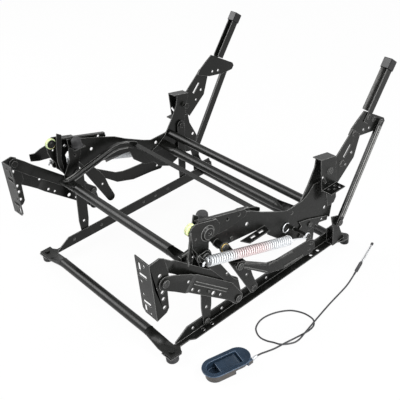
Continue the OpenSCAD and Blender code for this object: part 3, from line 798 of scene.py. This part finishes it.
def shaped(node, width, segments, *materials):
    """Copy of a node with merged faces and rounded edges, kept inside its box and standing for it."""
    piece = new_piece(node + "_shaped", frame["nodes"][node].data.copy())
    paint_with(piece, *materials)
    with edit_mode(piece):
        bpy.ops.mesh.remove_doubles(threshold=NODE_MERGE)
        bpy.ops.mesh.dissolve_limited(angle_limit=FLAT)
    smooth(piece)
    round_edges(piece, width, segments, len(materials) - 1)
    low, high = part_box(node)
    for vertex in piece.data.vertices:
        vertex.co = [min(max(c, a), b) for c, a, b in zip(vertex.co, low, high)]
    return stand_in(piece, node)


class RECLINER_OT_plates(bpy.types.Operator):
    """Rounds and paints the plates and links"""

    bl_idname = "recliner.plates"
    bl_label = "Plates and links"

    def execute(self, context):
        width = context.scene.recliner_sizes.edge_round
        # The last finish goes on the rounded edges, where it is a painted highlight.
        for name in PLATES:
            for side in SIDES:
                shaped(f"{name}_{side}", width, EDGE_SEGMENTS, finish_of("paint"), finish_of("edge"))
        shaped(ARMS, width, EDGE_SEGMENTS, finish_of("paint"), finish_of("edge"))
        for side in SIDES:
            self.paint_channel_reflection(bpy.data.objects[f"post_{side}_shaped"])
        return {"FINISHED"}

    def paint_channel_reflection(self, post):
        """Paints a reflection on the wide faces inside the post's open channel, by giving them the light grey
        finish.
        """
        post.data.materials.append(finish_of("painted_highlight"))
        middle = sum((v.co for v in post.data.vertices), Vector()) / len(post.data.vertices)
        widest = max(face.area for face in post.data.polygons)
        for face in post.data.polygons:
            inward = (middle - face.center).dot(face.normal) > 0
            if inward and face.area > WIDE_SHARE * widest:
                face.material_index = len(post.data.materials) - 1


class RECLINER_OT_tubes(bpy.types.Operator):
    """Rounds and paints the cross tubes"""

    bl_idname = "recliner.tubes"
    bl_label = "Cross tubes"

    def execute(self, context):
        width = context.scene.recliner_sizes.edge_round
        for node in TUBES:
            shaped(node, width, EDGE_SEGMENTS, finish_of("paint"))
        return {"FINISHED"}


# Rivets


# Rivets on the linkage's pivots: body, node, joint, pivot radius, and outer or inner face
RIVETS = (
    ("base", "rail", "recline", 8.5, True),
    ("base", "rail", "rear_link_swing", 8.5, True),
    ("base", "end_bracket", "strut_swing", 9, True),
    ("seat", "seat_plate", "seat_level", 8, False),
    ("seat", "front_bracket", "ottoman", 10, True),
    ("seat", "seat_plate", "rear_arm_swing", 9, True),
    ("seat", "seat_plate", "latch_r_turn", 7, True),
    ("seat", "lug", "back_tilt", 9, True),
    ("drive_links", "drive_link", "long_link_swing", 9, True),
    ("drive_links", "drive_link", "upper_link_swing", 8, False),
    ("rear_arms", "rear_arm", "push_link_level", 9, True),
    ("footrest", "footrest_bracket", "footrest_tilt", 9, True),
)
# Rivets that hold plates together: node, place in the side view, head radius, and outer or inner face
STUDS = (
    ("seat_plate", -98, 212, 6.5, True),
    ("seat_plate", -152, 272, 5, True),
    ("seat_plate", -152, 272, 6, False),
    ("seat_plate", -196, 198, 6, False),
    ("seat_plate", -174, 184, 5, False),
    ("back_plate", 236, 262, 5, True),
    ("long_link", -200, 140, 4.5, True),
)


# Head of a pivot rivet as a share of its radius, and how much higher a plate rivet stands
PIVOT_HEAD = 0.92
STUD_RISE = 1.6
HEAD_SINK = 0.5 * MM
HEAD_WALL = 0.1 * MM
# Flat top of a dome as a share of its radius, and the dimple in it as shares of radius and rise
DOME_FLAT = 0.45
DOME_STEPS = 6
DIMPLE = ((0.30, 0.8), (0.16, 0.55), (0, 0.5))


def rivet(name, centre, axis, radius, rise):
    profile = [(0, -HEAD_SINK), (radius, -HEAD_SINK), (radius, HEAD_WALL)]
    for k in range(1, DOME_STEPS + 1):
        angle = math.radians(90 / DOME_STEPS * k)
        profile.append((radius * (DOME_FLAT + (1 - DOME_FLAT) * math.cos(angle)), rise * math.sin(angle)))
    profile += [(wide * radius, high * rise) for wide, high in DIMPLE]
    return turned(name, profile, centre, axis, finish_of("rivet"), steps=28)


def set_rivet(name, node, place, sign, outward, radius, rise):
    """Rivet head on the outer or inner face of a node."""
    facing = (sign if outward else -sign, 0, 0)
    return rivet(name, on_face(node, place, sign, outward), facing, radius, rise)


class RECLINER_OT_rivets(bpy.types.Operator):
    """Sets domed rivet heads on the linkage's pivots and on the plates"""

    bl_idname = "recliner.rivets"
    bl_label = "Rivets"

    def execute(self, context):
        rise = context.scene.recliner_sizes.rivet_rise
        heads = {}
        for body, name, joint, radius, outward in RIVETS:
            for side, sign in SIDES.items():
                size = PIVOT_HEAD * radius * MM
                head = set_rivet("rivet", f"{name}_{side}", pivot(joint), sign, outward, size, rise)
                heads.setdefault(body, []).append(head)
        for name, y, z, radius, outward in STUDS:
            for side, sign in SIDES.items():
                node = f"{name}_{side}"
                head = set_rivet("stud", node, side_view(y, z), sign, outward, radius * MM, STUD_RISE * rise)
                heads.setdefault(BODY_OF[node], []).append(head)
        for body, pieces in heads.items():
            hand_in(joined(f"rivets_{body}", pieces), body, "black_paint")
        return {"FINISHED"}


# Pressed beads, ribs with painted highlights, and bushes on the sheet metal


# Crest of the seat arms in the side view, in millimetres, and how far below it the bead and ribs run
ARM_CROWN = (
    (-216, 214), (-196, 216), (-166, 223), (-139, 229), (-107, 236), (-68, 244), (-42, 245), (-14, 238),
)
ARM_BEAD_DROP = 9
ARM_RIB_DROPS = (1, 18)
ARM_X = 233 * MM
ARM_BEAD = 7.5 * MM
ARM_RIB = 2.2 * MM
LINK_RIBS = (((-233, 189), (-146, 112)), ((-238, 184), (-151, 107)))
LINK_RIB = 1.1 * MM
# Ribs of a strut: places across it, radius, and the shares of its length between which they run
STRUT_RIBS = (-4.4 * MM, 4.4 * MM)
STRUT_RIB = 1.9 * MM
STRUT_RIB_SPAN = (0.06, 0.94)
# Bush on the rear arm: radius and height in millimetres, and how far from its middle the arm's face is met
BUSH = ((6.6, 0), (10.2, 0), (10.2, 1.6), (9.6, 2.2), (7.2, 2.2), (6.6, 1.6), (6.6, 0))
BUSH_SEAT = 8.5 * MM


class RECLINER_OT_pressings(bpy.types.Operator):
    """Raises the beads and ribs of the arms, links and struts, with painted highlights on the ribs, and sets the
    bushes
    """

    bl_idname = "recliner.pressings"
    bl_label = "Pressed beads and bushes"

    def execute(self, context):
        for side, sign in SIDES.items():
            self.arm(side, sign)
            self.link(side, sign)
            self.strut(side, sign)
            self.bush(side, sign)
        return {"FINISHED"}

    def arm(self, side, sign):
        def line(drop):
            return [Vector((sign * ARM_X, y * MM, (z - drop) * MM)) for y, z in ARM_CROWN]

        bead = wire("bead", line(ARM_BEAD_DROP), ARM_BEAD, finish_of("paint"), resolution=5)
        # The ribs take the light grey finish as painted highlights along the arm; the bead between them keeps the
        # black paint.
        ribs = [wire("rib", line(drop), ARM_RIB, finish_of("painted_highlight"), resolution=3) for drop in ARM_RIB_DROPS]
        hand_in(joined(f"arm_bead_{side}", [bead, *ribs]), "seat", "black_paint")

    def link(self, side, sign):
        node = f"long_link_{side}"
        ribs = []
        for ends in LINK_RIBS:
            points = [on_face(node, side_view(y, z), sign) for y, z in ends]
            # The ribs take the edge finish as painted highlights along the link.
            ribs.append(wire("rib", points, LINK_RIB, finish_of("edge"), resolution=2))
        hand_in(joined(f"link_ribs_{side}", ribs), BODY_OF[node], SLOT_OF[node])

    def strut(self, side, sign):
        node = f"strut_{side}"
        foot = pivot("strut_swing")
        corners = (v.co for v in frame["nodes"][node].data.vertices)
        top = max(corners, key=lambda place: (place.yz - foot.yz).length)
        way = Vector((0, *(top.yz - foot.yz))).normalized()
        across = Vector((0, -way.z, way.y))
        length = (top - foot).dot(way)
        ribs = []
        for offset in STRUT_RIBS:
            line = [foot + across * offset + way * length * share for share in STRUT_RIB_SPAN]
            points = [on_face(node, place, sign) for place in line]
            # The ribs take the light grey finish as painted highlights along the strut.
            ribs.append(wire("rib", points, STRUT_RIB, finish_of("painted_highlight"), resolution=3))
        hand_in(joined(f"strut_ribs_{side}", ribs), BODY_OF[node], SLOT_OF[node])

    def bush(self, side, sign):
        node = f"rear_arm_{side}"
        place = pivot("rear_arm_swing")
        place.x = on_face(node, place + Vector((0, BUSH_SEAT, 0)), sign).x
        ring = turned(f"arm_bush_{side}", in_mm(BUSH), place, (sign, 0, 0), finish_of("bush"))
        hand_in(ring, BODY_OF[node], "zinc_wire")


# Springs, rollers, rubber


SPRING_CURLS = 38
SPRING_OUTSIDE = 24 * MM
SPRING_STUD = (107 * MM, 126 * MM)
SPRING_TAB = (-209 * MM, 235 * MM)
SPRING_BEGIN = 2 * MM
SPRING_RUN = 269 * MM
STUD_RADIUS = 4 * MM
# Hooked tail at the tab, along the spring and up from it, in millimetres
SPRING_HOOK = ((-7.2, -9), (-7, -4), (-5.6, -1), (-3, 0))
# Points of the straight lead, as shares of it, and of the reach to the eye
LEAD_SHARES = (0.0, 0.35, 0.7)
REACH_SHARES = (0.3, 0.6, 0.85)
CURL_POINTS = 20
# Points over which the first curl widens and the last one narrows
CURL_EASE = 10
EYE_POINTS = 25
EYE_STEP = math.radians(12)


def spring_line(side, wire_d):
    """Main spring from a hooked tail in the drive link's tab to an eye round the seat's stud."""
    low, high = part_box(f"main_spring_{side}")
    x = (low.x + high.x) / 2
    stud = Vector((x, *SPRING_STUD))
    tab = Vector((x, *SPRING_TAB))
    way = (stud - tab).normalized()
    lift = Vector((0, -way.z, way.y))
    span = (stud - tab).length
    radius = (SPRING_OUTSIDE - wire_d) / 2
    begin, run = SPRING_BEGIN, SPRING_RUN
    points = [tab + (way * along + lift * up) * MM for along, up in SPRING_HOOK]
    points += [tab + way * begin * share for share in LEAD_SHARES]
    turns = SPRING_CURLS * CURL_POINTS
    for i in range(turns + 1):
        angle = math.tau * SPRING_CURLS * i / turns
        grow = min(1, i / CURL_EASE, (turns - i) / CURL_EASE)
        ring = grow * radius * (math.cos(angle) * Vector((1, 0, 0)) + math.sin(angle) * lift)
        points.append(tab + way * (begin + run * i / turns) + ring)
    eye = STUD_RADIUS + wire_d / 2
    rest = span - begin - run
    points += [tab + way * (begin + run + rest * share) - lift * eye * share for share in REACH_SHARES]
    for k in range(EYE_POINTS):
        angle = EYE_STEP * k
        points.append(stud + eye * (math.sin(angle) * way - math.cos(angle) * lift))
    return points, stud, tab


class RECLINER_OT_springs(bpy.types.Operator):
    """Winds the two main springs"""

    bl_idname = "recliner.springs"
    bl_label = "Main springs"

    def execute(self, context):
        wire_d = context.scene.recliner_sizes.spring_wire
        for side in SIDES:
            node = f"main_spring_{side}"
            points, stud, tab = spring_line(side, wire_d)
            coil = wire(f"main_coil_{side}", points, wire_d / 2, finish_of("spring"), resolution=3)
            stand_in(coil, node)
            hub = pivot("ottoman")
            hub.x = tab.x
            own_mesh(coil)
        return {"FINISHED"}


# Roller washer: radius and height, in millimetres, and its gap to the roller
WASHER = (
    (0, 0.1), (4.1, 0.1), (11.2, 0.1), (11.5, 0.4), (11.5, 0.9), (11.0, 1.2), (7.2, 1.2), (7.0, 2.0),
    (5.6, 3.2), (3.0, 3.8), (0, 3.9),
)
WASHER_GAP = 0.15 * MM
# Face of a roller from its bore to its rim: radius and depth below the outermost face, in millimetres
ROLLER_FACE = (
    (4.05, 0), (6.6, 0), (7.0, 0.4), (7.2, 2.2), (9.8, 2.2), (10.2, 0.4), (10.6, 0), (12.2, 0), (12.8, 0.5),
)
ROLLER_SHOULDER = 1.2
# Groove round a roller's rim: depth below the rim and place across it, in millimetres
ROLLER_GROOVE = ((0, -1.3), (0.7, -0.8), (0.7, 0.8), (0, 1.3))


def roller_profile(half, rim):
    near = [(r, -half + depth) for r, depth in (*ROLLER_FACE, (rim, ROLLER_SHOULDER))]
    groove = [(rim - depth, across) for depth, across in ROLLER_GROOVE]
    far = [(r, -h) for r, h in reversed(near)]
    return near + groove + far + near[:1]


class RECLINER_OT_rollers(bpy.types.Operator):
    """Turns the two nylon rollers and their washers"""

    bl_idname = "recliner.rollers"
    bl_label = "Rollers"

    def execute(self, context):
        for side, sign in SIDES.items():
            node = f"roller_{side}"
            low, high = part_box(node)
            centre = (low + high) / 2
            profile = roller_profile((high.x - low.x) / 2 / MM, (high.z - low.z) / 2 / MM)
            piece = turned(f"roller_{side}_turned", in_mm(profile), centre, (sign, 0, 0), finish_of("nylon"))
            stand_in(piece, node)
            inner = low if sign > 0 else high
            face = Vector((inner.x - sign * WASHER_GAP, centre.y, centre.z))
            washer = in_mm(WASHER)
            disc = turned(f"roller_washer_{side}", washer, face, (-sign, 0, 0), finish_of("paint"), steps=40)
            hand_in(disc, "seat", "black_paint")
        return {"FINISHED"}


# Foot in millimetres: its side, in from the rim and up, and the stud on top, radius and height
FOOT_SIDE = (
    (3, 0), (0.8, 0.6), (0, 2), (0, 6), (0.8, 6.6), (0.8, 7.4), (0, 8), (0, 11.6), (0.6, 13), (4, 17.4),
)
FOOT_STUD = ((4, 17.4), (4, 28.4), (3.4, 29), (0, 29))
NUT_SIDES = 6
NUT_RADIUS = 7 * MM
NUT_HEIGHT = 4 * MM
NUT_LIFT = 27.5 * MM
NUT_ROUND = 0.6 * MM
# Bumper from its flange to its crown, with like rings between: radius and height, in millimetres
BUMPER_FLANGE = ((0, 0), (15, 0), (15, 2.6), (14.2, 4.2), (12.4, 6.6))
BUMPER_RING = ((12.0, 0), (12.9, 0.5), (13.2, 1.1), (12.9, 1.7), (12.0, 2.2))
BUMPER_CROWN = ((12.2, 19.6), (11.2, 21.4), (9.2, 22.8), (6.0, 23.6), (0, 23.9))
BUMPER_RINGS = 5
BUMPER_RINGS_FROM = 7.2
BUMPER_RING_STEP = 2.4


def foot_profile(rim):
    return [(0, 0), *((rim - inset, h) for inset, h in FOOT_SIDE), *FOOT_STUD]


def bumper_profile():
    rows = list(BUMPER_FLANGE)
    for ring in range(BUMPER_RINGS):
        z = BUMPER_RINGS_FROM + BUMPER_RING_STEP * ring
        rows += [(r, z + h) for r, h in BUMPER_RING]
    return [*rows, *BUMPER_CROWN]


class RECLINER_OT_rubber(bpy.types.Operator):
    """Moulds the ribbed bumpers and the rubber feet"""

    bl_idname = "recliner.rubber"
    bl_label = "Feet and bumpers"

    def execute(self, context):
        for side in SIDES:
            self.foot(f"foot_{side}")
            self.bumper(f"bumper_{side}")
        return {"FINISHED"}

    def foot(self, node):
        low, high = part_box(node)
        base = middle_below(node)
        profile = in_mm(foot_profile((high.x - low.x) / 2 / MM))
        rubber = turned(node + "_rubber", profile, base, (0, 0, 1), finish_of("rubber"))
        seat = base + Vector((0, 0, NUT_LIFT))
        bpy.ops.mesh.primitive_cylinder_add(
            vertices=NUT_SIDES, radius=NUT_RADIUS, depth=NUT_HEIGHT, location=seat,
        )
        nut = bpy.context.object
        bpy.ops.object.transform_apply(location=True, rotation=True, scale=True)
        paint_with(nut, finish_of("paint"))
        smooth(nut)
        round_edges(nut, NUT_ROUND)
        stand_in(joined(node + "_moulded", [rubber, nut]), node)

    def bumper(self, node):
        profile = in_mm(bumper_profile())
        base = middle_below(node)
        piece = turned(node + "_moulded", profile, base, (0, 0, 1), finish_of("rubber"), steps=56)
        stand_in(piece, node)


CAP_ROUND = 2 * MM
CAP_SEGMENTS = 4


class RECLINER_OT_caps(bpy.types.Operator):
    """Moulds the plastic caps of the back posts"""

    bl_idname = "recliner.caps"
    bl_label = "Post caps"

    def execute(self, context):
        for side in SIDES:
            shaped(f"cap_{side}", CAP_ROUND, CAP_SEGMENTS, finish_of("cap"))
        return {"FINISHED"}


# Release handle


CUP_ROUND = 1.2 * MM
PADDLE_ROUND = 1.0 * MM
HANDLE_SEGMENTS = 3
# Places of the cup's finishes, and the most that the normal of a side wall leans
TOP_FINISH, SKIRT_FINISH = 0, 1
WALL_LEAN = 0.3


class RECLINER_OT_handle(bpy.types.Operator):
    """Moulds the release cup and its paddle"""

    bl_idname = "recliner.handle"
    bl_label = "Release handle"

    def execute(self, context):
        # The last finish goes on the rounded edges, where it is a painted highlight.
        finishes = (finish_of("navy"), finish_of("skirt"), finish_of("navy_edge_highlight"))
        cup = shaped("pull_cup", CUP_ROUND, HANDLE_SEGMENTS, *finishes)
        low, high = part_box("pull_cup")
        middle = (low + high) / 2
        for face in cup.data.polygons:
            outward = (face.center.xy - middle.xy).dot(face.normal.xy) > 0
            if face.material_index == TOP_FINISH and outward and abs(face.normal.z) < WALL_LEAN:
                face.material_index = SKIRT_FINISH
        shaped("paddle", PADDLE_ROUND, HANDLE_SEGMENTS, finish_of("navy"), finish_of("navy_edge_highlight"))
        return {"FINISHED"}


# Small wire hooks on the seat plates


HOOK_AT = (77 * MM, 146 * MM)
HOOK_RADIUS = 12 * MM
HOOK_WIRE = 3.2 * MM
HOOK_LEAN = 1.5 * MM
HOOK_FROM = 40
HOOK_STEP = 11.5
HOOK_POINTS = 25


class RECLINER_OT_hooks(bpy.types.Operator):
    """Bends the small wire hooks on the seat plates"""

    bl_idname = "recliner.hooks"
    bl_label = "Wire hooks"

    def execute(self, context):
        for side, sign in SIDES.items():
            centre = on_face(f"seat_plate_{side}", Vector((0, *HOOK_AT)), sign)
            centre.x += sign * HOOK_WIRE / 2
            points = []
            for k in range(HOOK_POINTS):
                angle = math.radians(HOOK_FROM + HOOK_STEP * k)
                lean = sign * HOOK_LEAN * math.sin(angle / 2)
                round_point = Vector((lean, HOOK_RADIUS * math.cos(angle), HOOK_RADIUS * math.sin(angle)))
                points.append(centre + round_point)
            hook = wire(f"wire_hook_{side}", points, HOOK_WIRE / 2, finish_of("zinc"))
            hand_in(hook, "seat", "zinc_wire")
        return {"FINISHED"}


# Studio


FLOOR_SIZE = 24
FLOOR_ROUGHNESS = 0.9
FLOOR_GLOSS = 0.1
# Share of plain white in the floor as the camera and gloss see it, the rest being lit and shaded
FLOOR_WHITE = 0.95
LAMPS_AIM = Vector((0, 0, 0.15))
# Lamps: name, place, size in metres and power in watts
SOFTBOXES = (
    ("Key", (-1.9, -1.4, 1.9), 1.8, 70),
    ("Side", (1.35, -0.35, 0.55), 0.8, 10),
    ("Rim", (-0.6, 2.6, 2.2), 0.9, 14),
    ("Flank", (1.65, 0.5, 1.8), 1.0, 26),
)


class RECLINER_OT_stage(bpy.types.Operator):
    """Sets the floor, the soft light and the pale surroundings"""

    bl_idname = "recliner.stage"
    bl_label = "Studio"

    def execute(self, context):
        studio = context.scene.recliner_studio
        self.floor(studio)
        self.lights()
        self.surroundings(context.scene, studio)
        context.scene.view_settings.view_transform = "Standard"
        return {"FINISHED"}

    def floor(self, studio):
        bpy.ops.object.select_all(action="DESELECT")
        bpy.ops.mesh.primitive_plane_add(size=FLOOR_SIZE, location=(0, 0, FLOOR))
        floor = bpy.context.object
        floor.name = "studio_floor"
        bpy.ops.object.transform_apply(location=True, rotation=True, scale=True)
        material = bpy.data.materials.new("Studio floor")
        material.use_nodes = True
        tree = material.node_tree
        shader = tree.nodes["Principled BSDF"]
        shader.inputs["Base Color"].default_value = (*studio.floor, 1)
        shader.inputs["Roughness"].default_value = FLOOR_ROUGHNESS
        shader.inputs["Specular IOR Level"].default_value = FLOOR_GLOSS
        glow = tree.nodes.new("ShaderNodeEmission")
        mix = tree.nodes.new("ShaderNodeMixShader")
        share = tree.nodes.new("ShaderNodeMath")
        share.operation = "MULTIPLY"
        share.inputs[1].default_value = FLOOR_WHITE
        tree.links.new(seen_directly(tree), share.inputs[0])
        tree.links.new(share.outputs["Value"], mix.inputs["Fac"])
        tree.links.new(shader.outputs["BSDF"], mix.inputs[1])
        tree.links.new(glow.outputs["Emission"], mix.inputs[2])
        tree.links.new(mix.outputs["Shader"], tree.nodes["Material Output"].inputs["Surface"])
        paint_with(floor, material)

    def lights(self):
        for name, place, size, power in SOFTBOXES:
            bpy.ops.object.light_add(type="AREA", location=place)
            lamp = bpy.context.object
            lamp.name = name + " softbox"
            lamp.data.size = size
            lamp.data.energy = power
            lamp.visible_camera = False
            lamp.rotation_euler = (LAMPS_AIM - Vector(place)).to_track_quat("-Z", "Y").to_euler()

    def surroundings(self, scene, studio):
        world = bpy.data.worlds.new("Pale room")
        world.use_nodes = True
        tree = world.node_tree
        shine = tree.nodes["Background"]
        shine.inputs["Color"].default_value = (1, 1, 1, 1)
        level = tree.nodes.new("ShaderNodeMapRange")
        level.inputs["To Min"].default_value = studio.sky
        level.inputs["To Max"].default_value = 1.0
        tree.links.new(seen_directly(tree), level.inputs["Value"])
        tree.links.new(level.outputs["Result"], shine.inputs["Strength"])
        scene.world = world


def seen_directly(tree):
    """1 for rays from the camera, or off gloss or glass."""
    path = tree.nodes.new("ShaderNodeLightPath")
    first = tree.nodes.new("ShaderNodeMath")
    first.operation = "MAXIMUM"
    both = tree.nodes.new("ShaderNodeMath")
    both.operation = "MAXIMUM"
    tree.links.new(path.outputs["Is Camera Ray"], first.inputs[0])
    tree.links.new(path.outputs["Is Glossy Ray"], first.inputs[1])
    tree.links.new(first.outputs["Value"], both.inputs[0])
    tree.links.new(path.outputs["Is Transmission Ray"], both.inputs[1])
    return both.outputs["Value"]


# Sidebar panel and registration


OPERATORS = (
    RECLINER_OT_camera, RECLINER_OT_cable, RECLINER_OT_plates, RECLINER_OT_tubes, RECLINER_OT_rivets,
    RECLINER_OT_pressings, RECLINER_OT_springs, RECLINER_OT_rollers, RECLINER_OT_rubber, RECLINER_OT_caps,
    RECLINER_OT_handle, RECLINER_OT_hooks, RECLINER_OT_stage,
)
SETTINGS = {
    "recliner_finish": ReclinerFinish,
    "recliner_sizes": ReclinerSizes,
    "recliner_studio": ReclinerStudio,
}


class RECLINER_PT_panel(bpy.types.Panel):
    """Lists the pieces in the order in which they are made"""

    bl_idname = "RECLINER_PT_panel"
    bl_label = "Recliner mechanism"
    bl_space_type = "VIEW_3D"
    bl_region_type = "UI"
    bl_category = "Recliner"

    def draw(self, context):
        for settings in SETTINGS:
            group = getattr(context.scene, settings)
            for name in group.bl_rna.properties.keys():
                if name not in ("rna_type", "name"):
                    self.layout.prop(group, name)
        for operator in OPERATORS:
            self.layout.operator(operator.bl_idname)


def register():
    for settings, group in SETTINGS.items():
        bpy.utils.register_class(group)
        setattr(bpy.types.Scene, settings, bpy.props.PointerProperty(type=group))
    for operator in OPERATORS:
        bpy.utils.register_class(operator)
    bpy.utils.register_class(RECLINER_PT_panel)


def unregister():
    bpy.utils.unregister_class(RECLINER_PT_panel)
    for operator in reversed(OPERATORS):
        bpy.utils.unregister_class(operator)
    for settings, group in SETTINGS.items():
        delattr(bpy.types.Scene, settings)
        bpy.utils.unregister_class(group)


def main():
    register()
    for operator in OPERATORS:
        name = operator.bl_idname.split(".")[1]
        getattr(bpy.ops.recliner, name)()


if __name__ == "__main__":
    main()
